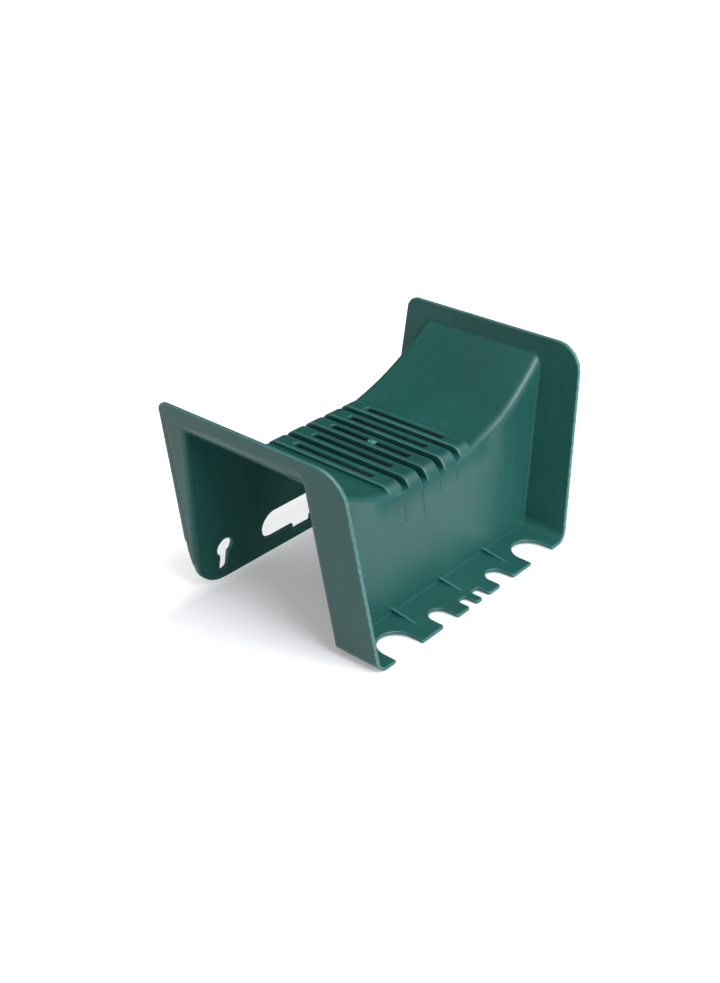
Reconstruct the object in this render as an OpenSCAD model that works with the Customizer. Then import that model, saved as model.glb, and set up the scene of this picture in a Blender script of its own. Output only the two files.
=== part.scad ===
// Wall-mounted garden hose hanger with an accessory shelf: one plastic moulding,
// drawn as its named sections, which meet face to face.
// The shape is laid out as it hangs on a wall: X along the saddle, Y towards the wall, Z up.
// stand() then tips it to the pose in which it stands on its shelf and its back wall.

/* [Saddle] */
// Distance between the inner faces of the end flanges at the shelf
inner_length = 216; // [190:1:240]
// Outward lean of the end flanges, in degrees
flange_lean = 8.8; // [6:0.2:10]
// Radius of the dished saddle surface along X
saddle_radius = 190; // [175:5:210]
// Height of the lowest point of the saddle surface
saddle_floor = 82.4; // [78:0.2:84]
// Thickness of every wall
wall = 2.5; // [2:0.1:3]

/* [Ribs] */
// Number of slotted ribs across the saddle
rib_count = 5; // [3:2:5]
// Distance from one rib to the next
rib_pitch = 19.6; // [18.6:0.2:20.4]
// Width of one rib
rib_width = 13; // [12:0.2:14]
// Height of the flat rib tops
rib_top = 91.2; // [90.6:0.2:93]
// Length of the slot in a rib
slot_length = 72; // [60:1:78]
// Width of the slot in a rib
slot_width = 5.5; // [4.5:0.1:6.5]

/* [Walls] */
// Distance from the shelf's front edge to the front wall, at the bottom
shelf_depth = 35; // [32:0.5:38]
// Distance from the shelf's front edge to the house wall
overall_depth = 172; // [165:1:180]
// How far the back wall reaches below the shelf
back_drop = 12.6; // [10:0.2:15]
// Radius of the back wall's bottom corners
back_corner_radius = 28; // [22:1:32]

/* [Flanges] */
// Height of the flanges
flange_height = 146; // [142:1:150]
// Radius of a flange's top corner at the front
flange_front_radius = 19; // [16:1:24]
// Radius of a flange's top corner at the back
flange_back_radius = 8.5; // [7:0.5:12]
// Outer radius of the bend from flange to shelf
bend_radius = 9; // [7:0.5:11]

/* [Shelf] */
// Widths of the tool notches, from the ends to the middle
notch_widths = [28, 15.6, 8]; // [6:0.2:28]
// Distances of the tool notches from the middle
notch_places = [79, 33.5, 7.5]; // [6:0.5:80]
// Depths of the tool notches
notch_depths = [23.8, 17, 10]; // [8:0.2:25]
// Distance of the outer gussets from the middle
gusset_place = 53; // [48:1:56]

/* [Back wall holes] */
// Radius of the round part of a keyhole
key_radius = 7.2; // [6:0.1:8]
// Width of the narrow part of a keyhole
key_slot_width = 7.4; // [5:0.1:8]
// Distance of a keyhole from the middle
key_place = 84; // [78:1:85]
// Length of the long opening between the keyholes
window_length = 90; // [80:1:96]
// Height of the long opening
window_height = 23.8; // [20:0.2:25]

/* [Hidden] */
$fn = 72;

front_slope = 0.088;        // the front wall leans towards the house wall by this much per mm of height
back_slope = 0.1244;        // the back wall leans away from the house wall by this much per mm
edge_slope = 0.11;          // the flanges' front edges lean back by this much per mm
back_wall_y = 169;          // outer face of the back wall at shelf height
front_edge_y = -1.1;        // where the front edge of the shelf and the flanges starts
rib_bends = [[9, 14], [7.5, 9]];        // a rib's front and back ends: half-width and half-height of the rounding
groove_bends = [[3.1, 3.6], [2.8, 2.8]];  // the same at the two ends of a groove floor
ramp_bends_mid = [[6, 6], [4, 4]];      // the same on the saddle's long edges beside the ribs
ramp_bends_end = [[6, 6], [4, 4]];      // the same at a flange
slot_middle = 101.8;        // middle of the slots along Y
rib_side = 2;               // thickness of a rib's side walls
seam_drop = 16;             // how far below the saddle surface the walls begin
far = 400;                  // size of the cutting blocks
key_height = 15.8;          // centre of a keyhole's round part
key_slot_bottom = -4.2;     // lowest point of a keyhole
window_middle = 13.4;       // height of the long opening's centre line
window_step = [20, 5.2];    // width and depth of the step in the long opening's lower edge
gusset_rise = 3.4;          // height of a gusset at the front wall
gusset_run = 24.5;          // length of a gusset
gusset_thick = 1.6;         // thickness of a gusset
notch_corner = 1.2;         // radius of the lands' corners between notches
notch_radius = [14, 7.8, 2.6];  // corner radii at the bottoms of the notches
flange_foot = -3;           // the flange strips beside the back wall are drawn down to here, then rounded
flange_step = 32;           // height of the step in a flange's back edge
step_y = 170.4;             // the back edge just below that step
bridge_length = 6;          // length along the slot of the bridge left by the gate
stub_radius = 1.6;          // radius of the gate's broken stub
stub_height = 1.2;          // height of the gate's broken stub

lean = tan(flange_lean);
half_length = inner_length / 2;
rib_zone = (rib_count - 1) / 2 * rib_pitch + rib_width / 2;
back_foot_y = back_wall_y + back_slope * back_drop - wall * sqrt(1 + back_slope * back_slope);
stand_tilt = atan(back_drop / (back_foot_y - front_edge_y));
stand_depth = (back_foot_y - front_edge_y + wall) * cos(stand_tilt) + back_drop * sin(stand_tilt);
seam_flat = saddle_z(rib_zone) - seam_drop;
bend_x = half_length + lean * bend_radius - (bend_radius - wall) * sqrt(1 + lean * lean);
corner_meet = acos(1 - wall / back_corner_radius);
green = "#1f4a49";

// Height of the saddle surface at a distance x from the middle
function saddle_z(x) = saddle_floor + saddle_radius - sqrt(saddle_radius * saddle_radius - x * x);
// Height at which the walls end and the saddle begins
function seam_z(x) = abs(x) <= rib_zone ? seam_flat : saddle_z(x) - seam_drop;
// The shell's wall thickness measured upwards under the sloping saddle
function thick_z(x) = wall * saddle_radius / sqrt(saddle_radius * saddle_radius - x * x);
// Inner face of a flange at height z
function flange_x(z) = half_length + lean * z;
// Roundings of the saddle's long edges at x
function ramp_bends(x) =
    ramp_bends_mid + (ramp_bends_end - ramp_bends_mid) * (abs(x) - rib_zone) / (flange_x(saddle_z(130)) - rib_zone);
// Points of an arc
function arc(centre, radius, from, to, steps) = oval(centre, [radius, radius], from, to, steps);

// Points of part of an ellipse with the given half-width and half-height
function oval(centre, half, from, to, steps) =
    [for (i = [0:steps]) let (a = from + (to - from) * i / steps) centre + [half[0] * cos(a), half[1] * sin(a)]];

// Distance from the centre of an ellipse to its tangent of the given slope, and the angle where it touches
function reach(half, slope) = norm([half[0], half[1] * slope]) / norm([1, slope]);
function touch(half, slope) = atan(slope * half[1] / half[0]);

// Section of the shell across the saddle, as [y, z]: up the front, over the top at height h, down the back.
// depth is how far inside the outer walls the line runs, and foot is where it starts and ends.
function hoop(h, depth, bends, foot) =
    let (front_n = norm([1, front_slope]),
         back_n = norm([1, back_slope]),
         front = bends[0],
         back = bends[1],
         front_z = h - front[1],
         back_z = h - back[1],
         front_c = [shelf_depth + front_slope * front_z + (depth + reach(front, front_slope)) * front_n, front_z],
         back_c = [back_wall_y - back_slope * back_z - (depth + reach(back, back_slope)) * back_n, back_z],
         front_y = shelf_depth + front_slope * foot + depth * front_n,
         back_y = back_wall_y - back_slope * foot - depth * back_n)
    concat([[front_y, foot]],
           oval(front_c, front, 180 - touch(front, front_slope), 90, 8),
           oval(back_c, back, 90, touch(back, back_slope), 8),
           [[back_y, foot]]);

// The same roundings one wall thickness further in
function inward(bends) = [for (b = bends) [max(b[0] - wall, 0.5), max(b[1] - wall, 0.5)]];

module stand()
    color(green) translate([0, -stand_depth / 2, 0]) rotate([stand_tilt, 0, 0])
        translate([0, -front_edge_y, 0]) children();

// Extrudes a drawing in [x, z] along Y
module along_y(from, to)
    translate([0, to, 0]) rotate([90, 0, 0]) linear_extrude(to - from) children();

// Extrudes a drawing in [y, z] along X
module along_x(from, to)
    translate([from, 0, 0]) rotate([90, 0, 90]) linear_extrude(to - from) children();

// The space between the two leaning flanges
module between_flanges()
    along_y(-far, far)
        polygon([[-flange_x(-50), -50], [flange_x(-50), -50], [flange_x(200), 200], [-flange_x(200), 200]]);

// Shell of the saddle from one x to another, lofted through hoops
module saddle_shell(xs, bends) {
    sections = [for (i = [0:len(xs) - 1])
        let (x = xs[i], h = saddle_z(x), foot = seam_z(x),
             outside = hoop(h, 0, bends[i], foot),
             inside = hoop(h - thick_z(x), wall, inward(bends[i]), foot))
        [for (p = concat(outside, [for (k = [len(inside) - 1:-1:0]) inside[k]])) [x, p[0], p[1]]]];
    n = len(sections[0]);
    last = len(xs) - 1;
    half = n / 2;
    polyhedron(
        points = [for (s = sections) for (p = s) p],
        faces = concat(
            [for (i = [0:last - 1]) for (k = [0:n - 1])
                let (a = i * n + k, b = i * n + (k + 1) % n)
                [a, b, b + n, a + n]],
            [for (k = [0:half - 2]) [k, n - 1 - k, n - 2 - k, k + 1]],
            [for (k = [0:half - 2]) [last * n + k + 1, last * n + n - 2 - k, last * n + n - 1 - k, last * n + k]]),
        convexity = 6);
}

// Curved part of the saddle between the ribs and the right-hand flange
module ramp() {
    reach = flange_x(saddle_z(130)) + 4;
    steps = 14;
    xs = [for (i = [0:steps]) rib_zone + (reach - rib_zone) * i / steps];
    intersection() {
        saddle_shell(xs, [for (x = xs) ramp_bends(x)]);
        between_flanges();
    }
}

// Floor of the groove to the right of rib i
module groove_floor(i) {
    from = rib_x(i) + rib_width / 2;
    width = rib_pitch - rib_width;
    xs = [for (k = [0:3]) from + width * k / 3];
    saddle_shell(xs, [for (x = xs) groove_bends]);
}

function rib_x(i) = (i - (rib_count + 1) / 2) * rib_pitch;

// Middle of the rib tops along Y
function rib_middle() =
    let (top = hoop(rib_top, 0, rib_bends, seam_flat)) (top[9][0] + top[10][0]) / 2;

// Raised hollow rib with a long round-ended slot
module rib(i) {
    x = rib_x(i);
    half = rib_width / 2;
    inner = half - rib_side;
    floor_z = saddle_z(max(abs(x) - half, 0)) - wall;
    slot_straight = slot_length - slot_width;
    difference() {
        along_x(x - half, x + half) polygon(hoop(rib_top, 0, rib_bends, seam_flat));
        // the channel below runs through at the saddle's own height
        along_x(x - far, x + far) polygon(hoop(floor_z, wall, [[1, 1], [1, 1]], seam_flat - 20));
        // the hollow of the rib itself
        along_x(x - inner, x + inner)
            polygon(hoop(rib_top - wall, wall + 0.4, inward(rib_bends), seam_flat + 2));
        translate([x, slot_middle, rib_top - 2 * wall]) {
            translate([-slot_width / 2, -slot_straight / 2, 0]) cube([slot_width, slot_straight, 3 * wall]);
            for (side = [-1, 1])
                translate([0, side * slot_straight / 2, 0]) cylinder(h = 3 * wall, d = slot_width);
        }
    }
}

// Arc of the right-hand bend in [x, z], from the flange to the shelf
function bend_arc(radius) = arc([bend_x, bend_radius], radius, -flange_lean, -90, 10);

// The mirror image of a line of points, in the opposite order
function mirrored(points) = [for (i = [len(points) - 1:-1:0]) [-points[i][0], points[i][1]]];

// The same line of points in the opposite order
function reversed(points) = [for (i = [len(points) - 1:-1:0]) points[i]];

// End view of the shelf and its two bends
module shelf_profile() {
    outer = bend_arc(bend_radius);
    inner = bend_arc(bend_radius - wall);
    polygon(concat(outer, mirrored(outer), reversed(mirrored(inner)), reversed(inner)));
}

// Wall slab whose outer face starts at y and leans by slope; the slab lies inside that face
module wall_slab(y, slope, towards)
    translate([0, y, 0]) rotate([-atan(slope), 0, 0])
        translate([-far, towards > 0 ? 0 : -wall, -far]) cube([2 * far, wall, 2 * far]);

// One tool notch in plan, with its mouth on the line y = 0
module notch(width, depth, radius) {
    translate([-width / 2, -9]) square([width, depth - radius + 9]);
    for (side = [-1, 1])
        translate([side * (width / 2 - radius), depth - radius]) circle(radius);
    if (width > 2 * radius)
        translate([radius - width / 2, 0]) square([width - 2 * radius, depth]);
    // the mouth is eased into the shelf's front edge
    difference() {
        translate([-width / 2 - notch_corner, -9]) square([width + 2 * notch_corner, notch_corner + 9]);
        for (side = [-1, 1])
            translate([side * (width / 2 + notch_corner), notch_corner]) circle(notch_corner, $fn = 24);
    }
}

module accessory_shelf()
    difference() {
        along_y(-5, shelf_depth + 5) shelf_profile();
        // the front wall's outer face
        translate([0, shelf_depth, 0]) rotate([-atan(front_slope), 0, 0])
            translate([-far, 0, -far]) cube(2 * far);
        // the front edge runs on in line with the flanges
        translate([0, front_edge_y, 0]) rotate([-atan(edge_slope), 0, 0])
            translate([-far, -2 * far, -far]) cube(2 * far);
        for (k = [0:2]) for (side = [-1, 1])
            translate([side * notch_places[k], front_edge_y, -1]) linear_extrude(wall + 2)
                notch(notch_widths[k], notch_depths[k] - front_edge_y, notch_radius[k]);
    }

module front_wall()
    intersection() {
        along_y(0, overall_depth) polygon(concat(front_half(), mirrored(front_half())));
        wall_slab(shelf_depth, front_slope, 1);
    }

// Where the top of a wall meets a flange
function meet_x(n = 12) = n == 0 ? half_length : flange_x(seam_z(meet_x(n - 1)));

// Right-hand half of the line along the top of both walls
function seam_half() =
    let (reach = meet_x(), steps = 14)
    [for (i = [0:steps]) let (x = rib_zone + (reach - rib_zone) * i / steps) [x, seam_z(x)]];

// Half outlines of the walls in [x, z], from the middle of the top edge round to the bottom edge
function front_half() = concat(seam_half(), [bend_arc(bend_radius - wall)[0]], bend_arc(bend_radius));
function back_half() = concat(seam_half(), back_corner(-flange_lean - corner_meet, -90, 16));

// Part of the right-hand bottom corner at the back, which is round across the flange and the back wall
function back_corner(from, to, steps) =
    let (r = back_corner_radius, z = r - back_drop, x = flange_x(z) + (wall - r) / cos(flange_lean))
    arc([x, z], r, from, to, steps);

// The back edge of a flange below its step
function foot_y(z) = max(step_y - 0.0058 * pow(flange_step - z, 2), back_wall_y - back_slope * z);

// Point in the plane of the back wall's outer face, at x and height z
module on_back_wall(x, z)
    translate([x, back_wall_y - back_slope * z, z]) rotate([atan(back_slope), 0, 0]) rotate([90, 0, 0])
        translate([0, 0, -wall]) children();

module back_wall() {
    through = 3 * wall;
    rise = sqrt(1 + back_slope * back_slope);
    key_drop = (key_height - key_slot_bottom) * rise - key_slot_width / 2;
    straight = window_length - window_height;
    difference() {
        intersection() {
            along_y(0, overall_depth + 20) polygon(concat(back_half(), mirrored(back_half())));
            wall_slab(back_wall_y, -back_slope, -1);
        }
        for (side = [-1, 1]) on_back_wall(side * key_place, key_height) {
            cylinder(h = through, r = key_radius);
            translate([0, -key_drop, 0]) cylinder(h = through, d = key_slot_width);
            translate([-key_slot_width / 2, -key_drop, 0]) cube([key_slot_width, key_drop, through]);
        }
        on_back_wall(0, window_middle) {
            for (side = [-1, 1])
                translate([side * straight / 2, 0, 0]) cylinder(h = through, d = window_height);
            translate([-straight / 2, -window_height / 2, 0]) cube([straight, window_height, through]);
            translate([-window_step[0] / 2, -window_height / 2 - window_step[1], 0])
                cube([window_step[0], window_step[1] + 5, through]);
        }
    }
}

// Outline of a flange in [y, z]: a plate with the channel's opening cut out of it
module flange_outline() {
    front_tilt = atan(edge_slope);
    front_c = [front_edge_y + edge_slope * (flange_height - flange_front_radius)
                   + flange_front_radius * sqrt(1 + edge_slope * edge_slope),
               flange_height - flange_front_radius];
    back_c = [overall_depth - flange_back_radius, flange_height - flange_back_radius];
    opening_top = saddle_z(flange_x(saddle_z(130))) - thick_z(130);
    difference() {
        polygon(concat([[front_edge_y, 0]],
            arc(front_c, flange_front_radius, 180 - front_tilt, 90, 12),
            arc(back_c, flange_back_radius, 90, 0, 10),
            [[overall_depth, flange_step]],
            [for (i = [0:7]) let (z = flange_step + (flange_foot - flange_step) * i / 7) [foot_y(z), z]],
            [[back_wall_y - 30, flange_foot], [back_wall_y - 30, 60], [shelf_depth + 30, 60], [shelf_depth + 30, 0]]));
        polygon(hoop(opening_top, wall, inward(ramp_bends_end), -5));
    }
}

// The right-hand flange; the left-hand one is its mirror image
module flange() {
    below = [bend_x, bend_radius];
    corner = back_corner(-flange_lean, -flange_lean - corner_meet, 8);
    difference() {
        intersection() {
            along_x(half_length - 20, half_length + 60) flange_outline();
            translate([half_length, 0, 0]) rotate([0, flange_lean, 0])
                translate([0, -far, -far]) cube([wall, 2 * far, 2 * far]);
        }
        // the back wall's rounded corner
        along_y(back_wall_y - 40, far) polygon(concat(corner,
            [[half_length - 30, corner[8][1]], [half_length - 30, -60], [far, -60], [far, corner[0][1]]]));
        // the bend takes over below this line
        along_y(-5, shelf_depth + 30)
            polygon([below, below + far * [cos(flange_lean), -sin(flange_lean)], [half_length, -far], [0, -far]]);
    }
}

// Thin tapered gusset from the front wall onto the shelf
module gusset(x)
    along_x(x - gusset_thick / 2, x + gusset_thick / 2)
        polygon([[shelf_depth + front_slope * wall, wall],
                 [shelf_depth + front_slope * (wall + gusset_rise), wall + gusset_rise],
                 [shelf_depth - gusset_run, wall]]);

// What the moulding gate leaves: a small bridge across the middle rib's slot, with a broken stub
module gate_vestige()
    translate([0, rib_middle(), rib_top - wall]) {
        translate([-slot_width / 2, -bridge_length / 2, 0]) cube([slot_width, bridge_length, wall - 0.5]);
        translate([0, 0, wall - 0.5]) cylinder(h = stub_height, r = stub_radius, $fn = 24);
    }

stand() mirror([1, 0, 0]) flange();  // left_flange
stand() flange();  // right_flange
stand() front_wall();
stand() back_wall();
stand() mirror([1, 0, 0]) ramp();  // left_ramp
stand() ramp();  // right_ramp
stand() rib(1);  // saddle_rib_1
stand() rib(2);  // saddle_rib_2
stand() rib(3);  // saddle_rib_3
stand() rib(4);  // saddle_rib_4
stand() rib(5);  // saddle_rib_5
stand() groove_floor(1);  // groove_floor_1
stand() groove_floor(2);  // groove_floor_2
stand() groove_floor(3);  // groove_floor_3
stand() groove_floor(4);  // groove_floor_4
stand() accessory_shelf();
stand() gusset(-gusset_place);  // left_gusset
stand() gusset(0);  // middle_gusset
stand() gusset(gusset_place);  // right_gusset
stand() gate_vestige();
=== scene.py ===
"""Looks for the moulded garden hose hanger.

The whole moulding is one distance function in millimetres, laid out as the hanger hangs on a wall:
X along the saddle, Y towards the house wall, Z up. Each CAD node gets a closed mesh of its own, cut
from that one function, so that the sections of the moulding join without a visible seam.
"""
import math

import bpy
import numpy as np
from mathutils import Matrix, Vector


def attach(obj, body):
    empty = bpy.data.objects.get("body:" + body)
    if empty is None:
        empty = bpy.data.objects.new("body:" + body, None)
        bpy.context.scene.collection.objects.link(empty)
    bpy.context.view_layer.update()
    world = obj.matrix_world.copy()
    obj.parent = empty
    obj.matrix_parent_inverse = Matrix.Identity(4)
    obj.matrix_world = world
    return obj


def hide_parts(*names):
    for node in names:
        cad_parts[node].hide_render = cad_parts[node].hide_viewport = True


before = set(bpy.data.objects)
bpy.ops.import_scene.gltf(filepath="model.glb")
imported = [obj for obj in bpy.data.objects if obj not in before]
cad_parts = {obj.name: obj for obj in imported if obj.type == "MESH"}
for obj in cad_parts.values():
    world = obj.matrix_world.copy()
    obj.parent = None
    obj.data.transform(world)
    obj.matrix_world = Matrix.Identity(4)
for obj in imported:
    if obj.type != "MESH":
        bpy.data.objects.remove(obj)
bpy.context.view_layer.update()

# -------------------------------------------------- sizes in mm
# These are the CAD's sizes, except that the notches are up to 0.4 mm shallower and have other corner radii.
# The hollow, the sink lines, the rebate, the channel's round mouths, the torn gate mark, and the roundings
# and fillets at the end of this list are only in this script.
CELL = 0.9                   # size of the mesh's cells
WALL = 2.5
HALF_LENGTH = 108.0          # inner face of a flange at shelf height
LEAN = math.radians(8.8)     # outward lean of the flanges
SADDLE_R = 190.0
SADDLE_Z = 82.4              # height of the saddle's lowest line
RIB_PITCH = 19.6
RIB_HALF = 6.5
RIB_TOP = 91.2
RIB_SIDE = 2.0
RIB_SEAM = 0.9               # how far a rib's section reaches beyond the rib's sides
OUTER_RIB = 2                # ribs on each side of the middle one
RIB_ZONE = OUTER_RIB * RIB_PITCH + RIB_HALF
RIB_FRONT = (9.0, 14.0)      # rounding at a rib's front end, along Y and along Z
RIB_BACK = (7.5, 9.0)
GROOVE_FRONT = (3.1, 3.6)    # the same at the front end of the grooves between the ribs
GROOVE_BACK = (2.8, 2.8)
RAMP_FRONT = 6.0             # radius of the saddle's front long edge beside the ribs
RAMP_BACK = 4.0
SLOT_HALF_LENGTH = 36.0
SLOT_HALF_WIDTH = 2.75
SLOT_MIDDLE = 101.8          # Y of the slots' middles
GATE_Y = 100.5
GATE_DEPTH = 1.6             # how far the gate's bridge lies below the top of the rib
FRONT_Y = 35.0               # outside of the front wall at shelf height
FRONT_SLOPE = 0.088          # how far the wall leans back for each mm of height
FRONT_HOLLOW = 1.5           # depth of the slight hollow in the front wall below the ribs
BACK_Y = 169.0               # outside of the back wall at shelf height
BACK_SLOPE = 0.1244
MIDDLE_Y = 100.0             # in front of this the walls below the saddle belong to the front wall
EDGE_SLOPE = 0.11
EDGE_Y = -1.1                # front edge of the shelf and of the flanges at shelf height
DEPTH = 172.0                # back edge of the flanges above their step
BACK_DROP = 12.6             # how far the back wall reaches below the shelf
BACK_CORNER = 28.0           # radius of the back wall's lower corners
TOP = 146.0                  # top edge of the flanges
TOP_FRONT_R = 19.0
TOP_BACK_R = 8.5
STEP_Z = 32.0                # height of the step in a flange's back edge
STEP_Y = 170.4
REBATE_Y = 167.4             # line of the rebate along a flange's back edge
REBATE_DEPTH = 0.25
REBATE_LINE = 0.5
MOUTH_FRONT_R = 5.0          # rounding of the channel's mouths at the front, over the top and at the back
MOUTH_TOP_R = 3.5
MOUTH_BACK_R = 2.2
BEND_R = 9.0                 # outer radius of the bend between the shelf and a flange
SEAM_DROP = 16.0             # how far below the saddle's surface the walls end
STREAKS = ((-33.4, 57.0), (-13.8, 55.0), (5.8, 66.0), (25.4, 65.0))   # sink lines: X, lowest Z
STREAK_DEPTH = 0.45
STREAK_HALF = 0.8
NOTCHES = (                  # distance from the middle, width, depth, inner radius, radius of the mouth
    (79.0, 28.0, 23.4, 14.0, 1.2),
    (33.5, 15.6, 16.7, 7.8, 2.2),
    (7.5, 8.0, 9.8, 1.8, 2.0),
)
GUSSETS = {"left_gusset": -53.0, "middle_gusset": 0.0, "right_gusset": 53.0}
GUSSET_START = 10.5          # Y where a gusset begins to rise
GUSSET_RISE = 3.4
GUSSET_HALF = 0.8
KEY_X = 84.0
KEY_Z = 15.8                 # middle of a keyhole's round part
KEY_R = 7.2
KEY_SLOT_HALF = 3.7
KEY_SLOT_BOTTOM = -4.2       # lower end of a keyhole's narrow part
WINDOW_Z = 13.4
WINDOW_HALF = 45.0
WINDOW_R = 11.9
WINDOW_STEP = (10.0, 5.2)    # half width and depth of the step in the window's lower edge
CUT_ROUND = 0.4              # roundings: edges of cut holes, ribs, rims of the flanges and the shelf
RIB_ROUND = 0.9
RIM_ROUND = 0.9
FILLET = 0.8                 # fillets: in most corners, between shelf and front wall, round the gussets
SHELF_FILLET = 0.15
GUSSET_FILLET = 0.5

FRONT_N = math.hypot(1.0, FRONT_SLOPE)
BACK_N = math.hypot(1.0, BACK_SLOPE)
EDGE_N = math.hypot(1.0, EDGE_SLOPE)
BACK_FOOT_Y = BACK_Y + BACK_SLOPE * BACK_DROP - WALL * BACK_N
TILT = math.atan(BACK_DROP / (BACK_FOOT_Y - EDGE_Y))
STAND_MID = ((BACK_FOOT_Y - EDGE_Y + WALL) * math.cos(TILT) + BACK_DROP * math.sin(TILT)) / 2
BEND_X = HALF_LENGTH + math.tan(LEAN) * BEND_R - (BEND_R - WALL) / math.cos(LEAN)


# -------------------------------------------------- distance function
def both(a, b, r):
    """What lies in a and in b, with the edge between them rounded to radius r."""
    u = np.maximum(a + r, 0.0)
    v = np.maximum(b + r, 0.0)
    return np.minimum(np.maximum(a, b), -r) + np.sqrt(u * u + v * v)


def either(a, b, r):
    """What lies in a or in b, with the corner between them filled to radius r."""
    return -both(-a, -b, r)


def ease(x, low, high):
    """0 below low, 1 above high, and a smooth step between."""
    t = np.clip((x - low) / (high - low), 0.0, 1.0)
    return t * t * (3.0 - 2.0 * t)


def stadium(u, v, low, high, r):
    """Round-ended slot along v from low to high, with radius r."""
    return np.hypot(u, v - np.clip(v, low, high)) - r


def saddle_height(x):
    """Height of the saddle's surface."""
    return SADDLE_Z + SADDLE_R - np.sqrt(np.maximum(SADDLE_R ** 2 - x * x, 1.0))


def seam_height(x):
    """Height at which the walls end and the saddle begins."""
    return saddle_height(np.maximum(np.abs(x), RIB_ZONE)) - SEAM_DROP


def flange_side(x, z):
    """Distance beyond the inner face of the nearer flange."""
    return (np.abs(x) - HALF_LENGTH) * math.cos(LEAN) - z * math.sin(LEAN)


def rib_offset(x):
    """Distance along X from the middle of the nearest rib."""
    return x - RIB_PITCH * np.clip(np.round(x / RIB_PITCH), -OUTER_RIB, OUTER_RIB)


def oval(a, b, half):
    """What lies in a and in b, with the edge rounded to an ellipse with these half sizes."""
    return both(a, b * (half[0] / half[1]), half[0])


def saddle_edges(x, front, back, over, depth):
    """The space under the saddle surface and between two walls, with the long edges rounded."""
    ax = np.abs(x)
    mid = ease(ax, RIB_ZONE - 11.0, RIB_ZONE - 2.0)
    reach = np.maximum(GROOVE_FRONT[0] + (RAMP_FRONT - GROOVE_FRONT[0]) * mid - depth, 0.5)
    drop = np.maximum(GROOVE_FRONT[1] + (RAMP_FRONT - GROOVE_FRONT[1]) * mid - depth, 0.5)
    behind = np.maximum(GROOVE_BACK[0] + (RAMP_BACK - GROOVE_BACK[0]) * mid - depth, 0.5)
    return np.maximum(both(front, over * (reach / drop), reach), both(back, over, behind))


def rib_edges(front, back, over, depth):
    """The same for a rib."""
    ahead = oval(front, over, (RIB_FRONT[0] - depth, RIB_FRONT[1] - depth))
    behind = oval(back, over, (RIB_BACK[0] - depth, RIB_BACK[1] - depth))
    return np.maximum(ahead, behind)


def flange_back_edge(z):
    """Y of a flange's back edge: straight down to a step, then curving in to the back wall."""
    low = np.maximum(STEP_Y - 0.0058 * (STEP_Z - z) ** 2, BACK_Y - BACK_SLOPE * z)
    return np.where(z > STEP_Z, DEPTH, low)


def front_relief(x, z):
    """How far the front wall's face lies back: a slight hollow under the ribs, and the sink lines."""
    relief = FRONT_HOLLOW * ease(z, 50.0, 88.0) * (1.0 - ease(np.abs(x), 55.0, 85.0))
    for place, low in STREAKS:
        line = np.clip(1.0 - np.abs(x - place) / STREAK_HALF, 0.0, 1.0)
        relief = relief + STREAK_DEPTH * line * ease(z, low, low + 9.0) * (1.0 - ease(z, 77.0, 80.0))
    return relief


def over_saddle(x, z):
    """Distance above the saddle's surface."""
    return SADDLE_R - np.hypot(x, z - SADDLE_Z - SADDLE_R)


def saddle_slot(x, y):
    """Distance from the slot in the nearest rib."""
    straight = SLOT_HALF_LENGTH - SLOT_HALF_WIDTH
    return stadium(rib_offset(x), y - SLOT_MIDDLE, -straight, straight, SLOT_HALF_WIDTH)


def saddle_outside(x, z, front, back):
    """The saddle with its ribs, as if it were not hollow."""
    body = saddle_edges(x, front, back, over_saddle(x, z), 0.0)
    rib = both(rib_edges(front, back, z - RIB_TOP, 0.0), np.abs(rib_offset(x)) - RIB_HALF, RIB_ROUND)
    return either(body, rib, FILLET * np.clip(-np.maximum(front, back) / 3.0, 0.0, 1.0))


def saddle_inside(x, z, front, back):
    """The channel under the saddle, which reaches up into the ribs."""
    under = saddle_edges(x, front + WALL, back + WALL, over_saddle(x, z) + WALL, WALL)
    rib = rib_edges(front + WALL, back + WALL, z - RIB_TOP + WALL, WALL)
    return np.minimum(under, both(rib, np.abs(rib_offset(x)) - RIB_HALF + RIB_SIDE, 0.5))


def tray(z, beyond):
    """Below the shelf and outside the flanges, where they are one bent plate."""
    return both(-z, beyond - WALL, BEND_R)


def back_foot(z, beyond):
    """Below the back wall's foot and outside the flanges, with round corners."""
    return both(-z - BACK_DROP, beyond - WALL, BACK_CORNER)


def plate_outline(x, y, z):
    """Outline of the flanges and the shelf, seen from the side and from above, with the notches."""
    edge = (EDGE_Y + EDGE_SLOPE * z - y) / EDGE_N
    rear = y - flange_back_edge(z)
    outline = np.maximum(both(edge, z - TOP, TOP_FRONT_R), both(rear, z - TOP, TOP_BACK_R))
    for place, width, deep, r, mouth in NOTCHES:
        notch = both(np.abs(np.abs(x) - place) - width / 2, y - deep, r)
        outline = both(outline, -notch, mouth)
    return outline


def bent_plate(x, y, z, beyond):
    """The flanges and the shelf, with a shallow rebate along the flanges' back edges."""
    tray_in = both(WALL - z, beyond, BEND_R - WALL)
    line = np.clip(1.0 - np.abs(y - REBATE_Y) / 0.9, 0.0, 1.0)
    rebate = REBATE_DEPTH * ease(y, REBATE_Y - 0.4, REBATE_Y + 0.6) + REBATE_LINE * line
    rebate = rebate * ease(z, STEP_Z - 0.5, STEP_Z + 0.5) * ease(-z, 6.0 - TOP, 10.0 - TOP)
    slab = np.maximum(np.maximum(beyond - WALL + rebate, -beyond), back_foot(z, beyond))
    plate = np.where(y < MIDDLE_Y, np.maximum(tray(z, beyond), -tray_in), slab)
    return both(plate, plate_outline(x, y, z), RIM_ROUND)


def gusset_wedge(place, x, y, z):
    """One gusset on the shelf."""
    slope = GUSSET_RISE / (FRONT_Y - GUSSET_START)
    above = (z - WALL - slope * (y - GUSSET_START)) / math.hypot(1.0, slope)
    wedge = both(np.maximum(above, 1.0 - z), np.abs(x - place) - GUSSET_HALF, 0.4)
    return np.maximum(wedge, y - FRONT_Y - 1.5)


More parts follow.
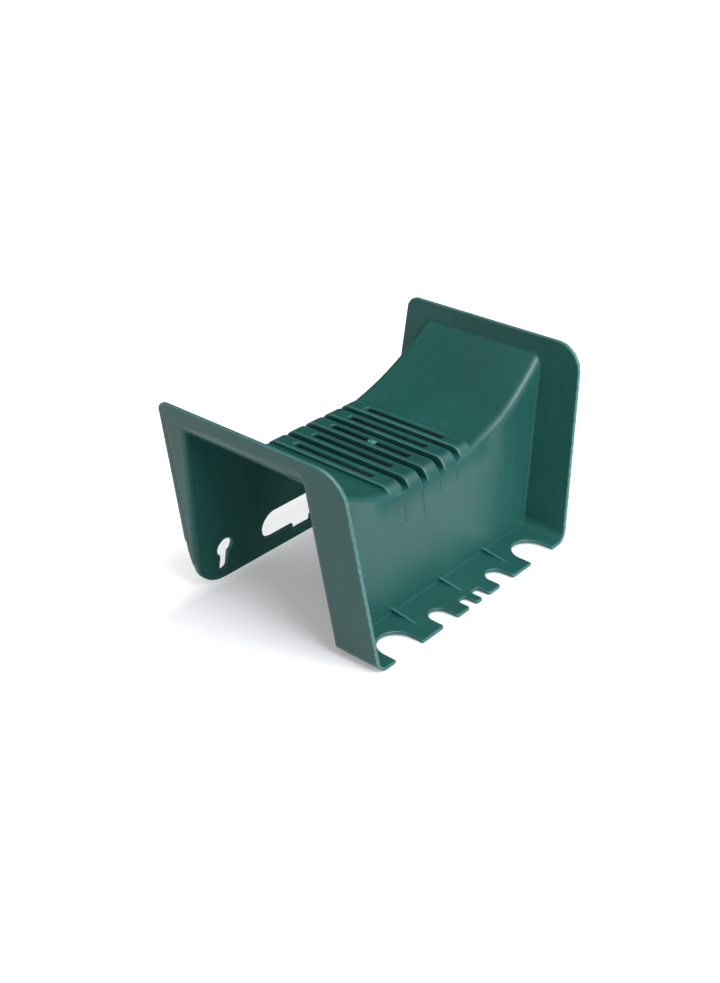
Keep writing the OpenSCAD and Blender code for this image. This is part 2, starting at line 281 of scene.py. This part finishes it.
def mouth_radius(y, z):
    """Radius of the rounding of the channel's mouths."""
    back = 0.5 + (MOUTH_BACK_R - 0.5) * ease(z, 0.0, 25.0)
    over_top = MOUTH_FRONT_R + (MOUTH_TOP_R - MOUTH_FRONT_R) * ease(y, 50.0, 75.0)
    return over_top + (back - over_top) * ease(y, 118.0, 148.0)


def back_holes(x, y, z):
    """The keyholes and the window in the back wall."""
    def up_wall(z0):
        return ((BACK_Y - BACK_SLOPE * z0 - y) * BACK_SLOPE + z - z0) / BACK_N
    kx = np.abs(x) - KEY_X
    kv = up_wall(KEY_Z)
    drop = (KEY_Z - KEY_SLOT_BOTTOM) * BACK_N - KEY_SLOT_HALF
    keyhole = np.minimum(np.hypot(kx, kv) - KEY_R, stadium(kx, kv, -drop, 0.0, KEY_SLOT_HALF))
    wv = up_wall(WINDOW_Z)
    window = stadium(wv, x, WINDOW_R - WINDOW_HALF, WINDOW_HALF - WINDOW_R, WINDOW_R)
    step = np.maximum(np.abs(x) - WINDOW_STEP[0], np.maximum(-wv - WINDOW_R - WINDOW_STEP[1], wv))
    return np.where(y > 130.0, np.minimum(keyhole, np.minimum(window, step)), 50.0)


def gate_mark(x, y, z):
    """What the gate left across the middle slot: a thin bridge with a torn ring on it."""
    bridge = np.maximum(np.abs(x) - SLOT_HALF_WIDTH - 0.2, np.abs(y - GATE_Y) - 3.0)
    bridge = both(bridge, np.abs(z - RIB_TOP + GATE_DEPTH) - 1.1, 0.5)
    ring = np.abs(np.hypot(x, 0.75 * (y - GATE_Y)) - 1.2) - 0.7
    torn_top = z - RIB_TOP - 0.25 - 0.25 * np.sin(2.3 * x + 1.7 * y)
    stub = np.maximum(both(ring, torn_top, 0.3), RIB_TOP - 1.5 - z)
    return np.minimum(bridge, stub)


def moulding(x, y, z):
    """Distance to the surface of the whole moulding, negative inside the plastic."""
    front = (FRONT_Y + FRONT_SLOPE * z + front_relief(x, z) - y) / FRONT_N
    back = (y - BACK_Y + BACK_SLOPE * z) / BACK_N
    beyond = flange_side(x, z)
    inside = saddle_inside(x, z, front, back)
    foot = np.where(y < MIDDLE_Y, tray(z, beyond), back_foot(z, beyond))
    shell = both(saddle_outside(x, z, front, back), np.maximum(beyond - 0.5, foot), 0.3)
    fillet = FILLET - (FILLET - SHELF_FILLET) * ease(-z, -10.0, -5.0)
    solid = either(bent_plate(x, y, z, beyond), shell, fillet)
    for place in GUSSETS.values():
        solid = either(solid, gusset_wedge(place, x, y, z), GUSSET_FILLET)
    solid = np.maximum(solid, np.where(y < MIDDLE_Y, -z, -z - BACK_DROP))
    solid = both(solid, -inside, CUT_ROUND)
    solid = np.maximum(solid, both(beyond - WALL, -inside, mouth_radius(y, z)))
    solid = both(solid, -np.maximum(saddle_slot(x, y), 70.0 - z), CUT_ROUND)
    solid = both(solid, -back_holes(x, y, z), CUT_ROUND)
    return np.minimum(solid, gate_mark(x, y, z))


# -------------------------------------------------- marks on the vertices, used by the material
def surface_bend(p, eps=0.9):
    """How sharply the surface bends near each point: above 0 on convex edges, below 0 in corners."""
    bend = -6.0 * moulding(*p.T)
    for k in range(3):
        d = np.zeros(3)
        d[k] = eps
        bend = bend + moulding(*(p + d).T) + moulding(*(p - d).T)
    return bend / eps ** 2


def painted_edge_highlight(p, bend):
    """Painted highlight: 1 on sharp convex edges, 0 on faces and in corners; less at the shelf and round
    the slots.
    """
    x, y, z = p.T
    on_front = (np.abs(FRONT_Y + FRONT_SLOPE * z - y) < 1.5) & (z < 80.0)
    near_slot = 1.0 - ease(saddle_slot(x, y), 0.6, 2.0)
    # strength of the painted highlight: weaker low down by the shelf and round the slots
    highlight_strength = (0.35 + 0.65 * ease(z, 2.0, 12.0)) * (1.0 - 0.75 * near_slot)
    return np.where(on_front, 0.0, highlight_strength * ease(bend, 0.4, 1.3))


def dull_side(p, bend):
    """1 on faces that look into the channel and in the corner behind the shelf, 0 elsewhere."""
    x, y, z = p.T
    front = (FRONT_Y + FRONT_SLOPE * z - y) / FRONT_N
    back = (y - BACK_Y + BACK_SLOPE * z) / BACK_N
    under = np.minimum(saddle_edges(x, front, back, over_saddle(x, z), 0.0),
                       rib_edges(front, back, z - RIB_TOP, 0.0))
    channel = np.maximum(np.maximum(front, back), under)
    core = 1.0 - ease(np.maximum(channel, flange_side(x, z)), -1.7, -0.8)
    return np.maximum(core, ease(-bend, 0.3, 1.0) * (1.0 - ease(z, 5.0, 9.0)))


# -------------------------------------------------- which node each part of the moulding belongs to
def flange_zone(x, y, z):
    """Negative where the plastic belongs to a flange: beyond its inner face, and above the bend."""
    above = (np.abs(x) - BEND_X) * math.sin(LEAN) + (z - BEND_R) * math.cos(LEAN)
    return np.maximum(-1.0 - flange_side(x, z), -np.where(y < MIDDLE_Y, above, 5.0))


def in_front(x, y, z):
    """Positive more than 1 mm in front of the front wall."""
    return (FRONT_Y + FRONT_SLOPE * z - y) / FRONT_N - 1.0


def gusset_zone(place, x, y, z):
    """Negative in the box round a gusset."""
    return np.maximum(np.maximum(np.abs(x - place) - 1.5, WALL - 0.5 - z), np.maximum(z - 12.0, 8.0 - y))


def gate_zone(x, y, z):
    """Negative in the box round the gate mark."""
    return np.maximum(np.maximum(np.abs(x) - 3.4, np.abs(y - GATE_Y) - 4.0), RIB_TOP - 4.0 - z)


def flange_region(side):
    """One flange: side is -1 for the left one and 1 for the right one."""
    return lambda x, y, z: np.maximum(flange_zone(x, y, z), -side * x)


def front_wall_region(x, y, z):
    own = np.maximum(in_front(x, y, z), z - seam_height(x))
    return np.maximum(np.maximum(own, y - MIDDLE_Y), -flange_zone(x, y, z))


def back_wall_region(x, y, z):
    return np.maximum(np.maximum(z - seam_height(x), MIDDLE_Y - y), -flange_zone(x, y, z))


def shelf_region(x, y, z):
    own = np.maximum(-in_front(x, y, z), -flange_zone(x, y, z))
    for place in GUSSETS.values():
        own = np.maximum(own, -gusset_zone(place, x, y, z))
    return own


def gusset_region(place):
    return lambda x, y, z: np.maximum(gusset_zone(place, x, y, z), -in_front(x, y, z))


def saddle_region(low, high):
    """The part of the saddle between two values of x."""
    def region(x, y, z):
        own = np.maximum(seam_height(x) - z, -flange_zone(x, y, z))
        own = np.maximum(own, np.maximum(low - x, x - high))
        return np.maximum(own, -gate_zone(x, y, z))
    return region


# -------------------------------------------------- meshing
def make_lattice():
    """The moulding's distance on a lattice, worked out in full only in blocks near the surface."""
    block = 8
    low = np.array([-140.0, -4.0, -17.0])
    high = np.array([140.0, 178.0, 152.0])
    count = (np.ceil((high - low) / CELL / block).astype(int)) * block
    axes = [low[k] + CELL * (np.arange(count[k]) + 0.37) for k in range(3)]
    coarse = [a.reshape(-1, block).mean(1) for a in axes]
    bx, by, bz = np.meshgrid(*coarse, indexing="ij")
    value = moulding(bx, by, bz)
    lattice = np.repeat(np.repeat(np.repeat(value, block, 0), block, 1), block, 2).astype(np.float32)
    reach = block * CELL * math.sqrt(3) / 2 * 1.15
    offsets = CELL * (np.arange(block) - (block - 1) / 2)
    ox, oy, oz = np.meshgrid(offsets, offsets, offsets, indexing="ij")
    near = np.argwhere(np.abs(value) < reach)
    for part in np.array_split(near, max(1, len(near) // 800)):
        px = coarse[0][part[:, 0]][:, None, None, None] + ox
        py = coarse[1][part[:, 1]][:, None, None, None] + oy
        pz = coarse[2][part[:, 2]][:, None, None, None] + oz
        values = moulding(px, py, pz)
        for (i, j, k), v in zip(part * block, values):
            lattice[i:i + block, j:j + block, k:k + block] = v
    return axes, lattice


def gradient(field, p, eps=0.02):
    """Unit direction in which a distance field grows fastest, at each point."""
    g = np.empty_like(p)
    for k in range(3):
        d = np.zeros(3)
        d[k] = eps
        g[:, k] = field(*(p + d).T) - field(*(p - d).T)
    length = np.linalg.norm(g, axis=1, keepdims=True)
    return g / np.maximum(length, 1e-9)


def cells_round(index, shape, k):
    """Numbers of the four cells round each lattice edge along axis k, in turn."""
    u = (k + 1) % 3
    v = (k + 2) % 3
    around = []
    for du, dv in ((-1, -1), (0, -1), (0, 0), (-1, 0)):
        c = index.copy()
        c[:, u] += du
        c[:, v] += dv
        around.append((c[:, 0] * shape[1] + c[:, 1]) * shape[2] + c[:, 2])
    return np.stack(around, 1)


def crossings(ax, inside, field, k):
    """Where the surface crosses lattice edges along axis k, the cells round each, and its direction."""
    first = [slice(None)] * 3
    second = [slice(None)] * 3
    first[k] = slice(0, -1)
    second[k] = slice(1, None)
    start = inside[tuple(first)]
    index = np.argwhere(start != inside[tuple(second)])
    a = np.stack([ax[m][index[:, m]] for m in range(3)], 1)
    step = np.zeros(3)
    step[k] = CELL
    flip = start[tuple(index.T)]
    sign = np.where(flip, 1.0, -1.0)
    lo = np.zeros(len(a))
    hi = np.ones(len(a))
    for _ in range(9):
        mid = (lo + hi) / 2
        before = field(*(a + mid[:, None] * step).T) * sign < 0
        lo = np.where(before, mid, lo)
        hi = np.where(before, hi, mid)
    return a + ((lo + hi) / 2)[:, None] * step, cells_round(index, inside.shape, k), flip


def cell_points(points, normals, corner, n):
    """One vertex for each cell, where the planes through its crossings meet."""
    flat = corner.ravel()
    share = np.bincount(flat, minlength=n).astype(float)
    rep_p = np.repeat(points, 4, 0)
    rep_n = np.repeat(normals, 4, 0)
    centre = np.stack([np.bincount(flat, rep_p[:, m], n) for m in range(3)], 1) / share[:, None]
    plane = np.einsum("ij,ij->i", rep_n, rep_p - centre[flat])
    ata = np.zeros((n, 3, 3))
    atb = np.zeros((n, 3))
    for i in range(3):
        atb[:, i] = np.bincount(flat, rep_n[:, i] * plane, n)
        for j in range(i, 3):
            ata[:, i, j] = ata[:, j, i] = np.bincount(flat, rep_n[:, i] * rep_n[:, j], n)
    ata += 0.06 * np.eye(3)
    shift = np.linalg.solve(ata, atb[:, :, None])[:, :, 0]
    return centre + np.clip(shift, -0.8 * CELL, 0.8 * CELL)


def contour(axes, lattice, region, low, high):
    """Closed mesh of the moulding inside a region: points in mm, their normals, and faces."""
    at = [max(int(np.searchsorted(axes[k], low[k])) - 2, 0) for k in range(3)]
    to = [min(int(np.searchsorted(axes[k], high[k])) + 2, len(axes[k])) for k in range(3)]
    ax = [axes[k][at[k]:to[k]] for k in range(3)]
    gx, gy, gz = np.meshgrid(*ax, indexing="ij", sparse=True)
    inside = np.maximum(lattice[at[0]:to[0], at[1]:to[1], at[2]:to[2]], region(gx, gy, gz)) < 0

    def field(x, y, z):
        return np.maximum(moulding(x, y, z), region(x, y, z))

    found = [crossings(ax, inside, field, k) for k in range(3)]
    points, cells, flips = [np.concatenate(part) for part in zip(*found)]
    ids, corner = np.unique(cells, return_inverse=True)
    corner = corner.reshape(cells.shape)
    verts = cell_points(points, gradient(field, points), corner, len(ids))
    faces = np.where(flips[:, None], corner, corner[:, ::-1])
    return verts, gradient(moulding, verts, 0.05), faces


def standing(p):
    """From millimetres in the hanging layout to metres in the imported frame."""
    c = math.cos(TILT)
    s = math.sin(TILT)
    from_edge = p[:, 1] - EDGE_Y
    y = from_edge * c - p[:, 2] * s - STAND_MID
    z = from_edge * s + p[:, 2] * c
    return np.stack([p[:, 0], y, z], 1) / 1000.0


def turned(v):
    """The same turn for directions."""
    c = math.cos(TILT)
    s = math.sin(TILT)
    return np.stack([v[:, 0], v[:, 1] * c - v[:, 2] * s, v[:, 1] * s + v[:, 2] * c], 1)


def make_piece(name, verts, normals, faces, material):
    """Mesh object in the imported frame, with both marks on its vertices."""
    mesh = bpy.data.meshes.new(name)
    co = standing(verts)
    mesh.vertices.add(len(co))
    mesh.vertices.foreach_set("co", co.astype(np.float32).ravel())
    mesh.loops.add(len(faces) * 4)
    mesh.loops.foreach_set("vertex_index", faces.astype(np.int32).ravel())
    mesh.polygons.add(len(faces))
    mesh.polygons.foreach_set("loop_start", np.arange(0, len(faces) * 4, 4, dtype=np.int32))
    mesh.polygons.foreach_set("use_smooth", np.ones(len(faces), dtype=bool))
    mesh.update(calc_edges=True)
    mesh.validate()
    bend = surface_bend(verts)
    for mark in (dull_side, painted_edge_highlight):
        attribute = mesh.attributes.new(mark.__name__, "FLOAT", "POINT")
        attribute.data.foreach_set("value", mark(verts, bend).astype(np.float32))
    mesh.normals_split_custom_set_from_vertices(turned(normals).tolist())
    mesh.materials.append(material)
    piece = bpy.data.objects.new(name, mesh)
    bpy.context.scene.collection.objects.link(piece)
    return piece


# -------------------------------------------------- materials
def node_of(tree, kind, **settings):
    node = tree.nodes.new(kind)
    for key, value in settings.items():
        setattr(node, key, value)
    return node


def noise(tree, coords, scale, detail=2.0, roughness=0.5):
    node = node_of(tree, "ShaderNodeTexNoise")
    node.inputs["Scale"].default_value = scale
    node.inputs["Detail"].default_value = detail
    node.inputs["Roughness"].default_value = roughness
    tree.links.new(coords, node.inputs["Vector"])
    return node.outputs["Fac"]


RANGE_SOCKETS = ("From Min", "From Max", "To Min", "To Max")


def to_range(tree, value, low, high, out_low, out_high, kind="LINEAR"):
    node = node_of(tree, "ShaderNodeMapRange", interpolation_type=kind)
    for socket, number in zip(RANGE_SOCKETS, (low, high, out_low, out_high)):
        node.inputs[socket].default_value = number
    tree.links.new(value, node.inputs["Value"])
    return node.outputs["Result"]


def arithmetic(tree, kind, a, b):
    node = node_of(tree, "ShaderNodeMath", operation=kind)
    for socket, value in zip(node.inputs, (a, b)):
        if isinstance(value, (int, float)):
            socket.default_value = value
        else:
            tree.links.new(value, socket)
    return node.outputs[0]


def wander(tree, drift, drift_size, flow, flow_size, middle):
    """A value that strays from its middle by two noises."""
    slow = to_range(tree, drift, 0.3, 0.7, -drift_size, drift_size)
    fine = to_range(tree, flow, 0.3, 0.7, -flow_size, flow_size)
    return arithmetic(tree, "ADD", arithmetic(tree, "ADD", slow, fine), middle)


def plastic_colour(tree, base, highlight_colour, shade):
    """The base colour, turned pale on sharp edges by a painted highlight, and scaled by a shade that drifts
    at random.
    """
    edge = node_of(tree, "ShaderNodeAttribute", attribute_name="painted_edge_highlight").outputs["Fac"]
    colour = node_of(tree, "ShaderNodeMix", data_type="RGBA")
    colour.inputs["A"].default_value = (*base, 1.0)
    colour.inputs["B"].default_value = (*highlight_colour, 1.0)
    # painted highlight: the pale colour on sharp convex edges
    tree.links.new(to_range(tree, edge, 0.0, 1.0, 0.0, 0.65), colour.inputs["Factor"])
    scaled = node_of(tree, "ShaderNodeVectorMath", operation="SCALE")
    tree.links.new(colour.outputs["Result"], scaled.inputs[0])
    tree.links.new(shade, scaled.inputs["Scale"])
    return scaled.outputs[0]


def plastic_grain(tree, coords, flow):
    """Normal of a surface with a fine moulded grain and flow lines."""
    grain = noise(tree, coords, 2600.0, 2.0, 0.6)
    bump = node_of(tree, "ShaderNodeBump")
    bump.inputs["Strength"].default_value = 0.12
    bump.inputs["Distance"].default_value = 0.0002
    height = arithmetic(tree, "ADD", grain, arithmetic(tree, "MULTIPLY", flow, 1.2))
    tree.links.new(height, bump.inputs["Height"])
    return bump.outputs["Normal"]


def moulded_plastic(name, base, highlight_colour, roughness):
    """Polypropylene with slight colour drift, flow lines, fine grain, a painted highlight on sharp edges
    and dull inner faces.
    """
    material = bpy.data.materials.new(name)
    material.use_nodes = True
    tree = material.node_tree
    shader = tree.nodes["Principled BSDF"]
    shader.inputs["IOR"].default_value = 1.49
    coords = node_of(tree, "ShaderNodeTexCoord").outputs["Object"]
    stretch = node_of(tree, "ShaderNodeMapping")
    stretch.inputs["Scale"].default_value = (1.0, 1.0, 0.06)
    tree.links.new(coords, stretch.inputs["Vector"])
    drift = noise(tree, coords, 14.0, 3.0)
    flow = noise(tree, stretch.outputs["Vector"], 260.0, 3.0, 0.6)
    colour = plastic_colour(tree, base, highlight_colour, wander(tree, drift, 0.12, flow, 0.07, 1.0))
    tree.links.new(colour, shader.inputs["Base Color"])
    tree.links.new(wander(tree, drift, 0.04, flow, 0.03, roughness), shader.inputs["Roughness"])
    tree.links.new(plastic_grain(tree, coords, flow), shader.inputs["Normal"])
    dull = node_of(tree, "ShaderNodeAttribute", attribute_name="dull_side").outputs["Fac"]
    tree.links.new(to_range(tree, dull, 0.0, 1.0, 0.32, 0.04), shader.inputs["Specular IOR Level"])
    return material


def floor_material():
    """A white sheet that glows a little, and more in front of the hanger and behind it than under it."""
    material = bpy.data.materials.new("white_floor")
    material.use_nodes = True
    tree = material.node_tree
    shader = tree.nodes["Principled BSDF"]
    shader.inputs["Base Color"].default_value = (0.58, 0.58, 0.58, 1.0)
    shader.inputs["Roughness"].default_value = 0.9
    shader.inputs["Emission Color"].default_value = (1.0, 1.0, 1.0, 1.0)
    split = node_of(tree, "ShaderNodeSeparateXYZ")
    tree.links.new(node_of(tree, "ShaderNodeTexCoord").outputs["Object"], split.inputs[0])
    away = arithmetic(tree, "ABSOLUTE", split.outputs["Y"], 0.0)
    beside = to_range(tree, split.outputs["X"], -0.21, -0.14, 0.0, 1.0)
    glow = arithmetic(tree, "MULTIPLY", to_range(tree, away, 0.075, 0.1, 0.0, 0.33), beside)
    glow = arithmetic(tree, "ADD", glow, 0.25)
    tree.links.new(glow, shader.inputs["Emission Strength"])
    return material


# -------------------------------------------------- camera, floor and lights
def add_camera():
    """The camera stands to the front left of the hanger and looks down on it."""
    forward = Vector((0.67632, 0.58814, -0.4435)).normalized()
    right = forward.cross(Vector((0.0, 0.0, 1.0))).normalized()
    up = right.cross(forward)
    roll = math.atan2(-0.0385, math.hypot(right.x, right.y))
    c = math.cos(roll)
    s = math.sin(roll)
    right, up = right * c + up * s, up * c - right * s
    camera = bpy.data.cameras.new("camera")
    camera.sensor_width = 36.0
    camera.lens = 45.85
    camera.clip_start = 0.01
    camera.clip_end = 50.0
    holder = bpy.data.objects.new("camera", camera)
    place = Vector((-0.61426, -0.42856 - (STAND_MID + EDGE_Y) / 1000.0, 0.4579))
    turn = Matrix((right, up, -forward)).transposed()
    holder.matrix_world = Matrix.Translation(place) @ turn.to_4x4()
    bpy.context.scene.collection.objects.link(holder)
    bpy.context.scene.camera = holder


def add_floor():
    size = 6.0
    mesh = bpy.data.meshes.new("floor")
    corners = [(-size, -size, 0), (size, -size, 0), (size, size, 0), (-size, size, 0)]
    mesh.from_pydata(corners, [], [(0, 1, 2, 3)])
    mesh.materials.append(floor_material())
    floor = bpy.data.objects.new("floor", mesh)
    floor.location.z = -0.0003
    bpy.context.scene.collection.objects.link(floor)


def add_sun(name, towards, spread, power, colour):
    """A round softbox far away in the direction given, spread degrees across."""
    light = bpy.data.lights.new(name, "SUN")
    light.angle = math.radians(spread)
    light.energy = power
    light.color = colour
    holder = bpy.data.objects.new(name, light)
    holder.rotation_euler = Vector(towards).to_track_quat("Z", "Y").to_euler()
    bpy.context.scene.collection.objects.link(holder)


def add_world():
    """A studio that is brightest above the front left and dark behind."""
    world = bpy.data.worlds.new("studio")
    world.use_nodes = True
    tree = world.node_tree
    towards = node_of(tree, "ShaderNodeVectorMath", operation="DOT_PRODUCT")
    towards.inputs[1].default_value = Vector((-0.35, -0.75, 0.56)).normalized()
    tree.links.new(node_of(tree, "ShaderNodeTexCoord").outputs["Generated"], towards.inputs[0])
    glow = to_range(tree, towards.outputs["Value"], -0.12, 0.9, 0.05, 1.15, kind="SMOOTHSTEP")
    background = tree.nodes["Background"]
    background.inputs["Color"].default_value = (0.98, 1.0, 1.0, 1.0)
    tree.links.new(glow, background.inputs["Strength"])
    bpy.context.scene.world = world


def add_lights():
    """The studio, a large soft light from the front and a weak one from the right."""
    add_world()
    add_sun("front_softbox", (-0.1, -0.7, 0.71), 34.0, 4.1, (0.98, 1.0, 1.07))
    add_sun("right_softbox", (0.68, -0.5, 0.53), 40.0, 0.7, (0.95, 1.0, 1.08))
    bpy.context.scene.view_settings.view_transform = "Standard"


# -------------------------------------------------- pieces
def node_table():
    """Each node's region, and the box in mm that it is looked for in."""
    rib_end = RIB_ZONE + RIB_SEAM
    rib_half = RIB_HALF + RIB_SEAM
    groove_half = RIB_PITCH / 2 - rib_half
    table = {
        "left_flange": (flange_region(-1), (-136, -3, -14), (-100, 173, 148)),
        "right_flange": (flange_region(1), (100, -3, -14), (136, 173, 148)),
        "front_wall": (front_wall_region, (-133, 30, -2), (133, 52, 125)),
        "back_wall": (back_wall_region, (-133, 145, -14), (133, 173, 125)),
        "accessory_shelf": (shelf_region, (-116, -3, -2), (116, 38, 12)),
    }
    for name, place in GUSSETS.items():
        table[name] = (gusset_region(place), (place - 3, 6, 0), (place + 3, 38, 12))
    table["left_ramp"] = (saddle_region(-200.0, -rib_end), (-133, 36, 65), (-45, 166, 140))
    table["right_ramp"] = (saddle_region(rib_end, 200.0), (45, 36, 65), (133, 166, 140))
    for i in range(-OUTER_RIB, OUTER_RIB + 1):
        mid = i * RIB_PITCH
        name = "saddle_rib_%d" % (i + OUTER_RIB + 1)
        own = saddle_region(mid - rib_half, mid + rib_half)
        table[name] = (own, (mid - 9, 36, 65), (mid + 9, 166, 96))
    for i in range(4):
        mid = (i - 1.5) * RIB_PITCH
        own = saddle_region(mid - groove_half, mid + groove_half)
        table["groove_floor_%d" % (i + 1)] = (own, (mid - 5, 36, 65), (mid + 5, 166, 92))
    table["gate_vestige"] = (gate_zone, (-5, 95, 84), (5, 106, 95))
    return table


def build_moulding():
    # the second colour of each material is the painted highlight on sharp edges
    plastic = moulded_plastic("dark_green_plastic", (0.009, 0.060, 0.051), (0.10, 0.24, 0.23), 0.37)
    scar = moulded_plastic("gate_scar_plastic", (0.035, 0.12, 0.10), (0.2, 0.36, 0.32), 0.5)
    axes, lattice = make_lattice()
    for name, (region, low, high) in node_table().items():
        verts, normals, faces = contour(axes, lattice, region, low, high)
        gate = name == "gate_vestige"
        piece = make_piece("moulding_" + name, verts, normals, faces, scar if gate else plastic)
        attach(piece, "root")
        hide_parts(name)


add_camera()
add_floor()
add_lights()
build_moulding()
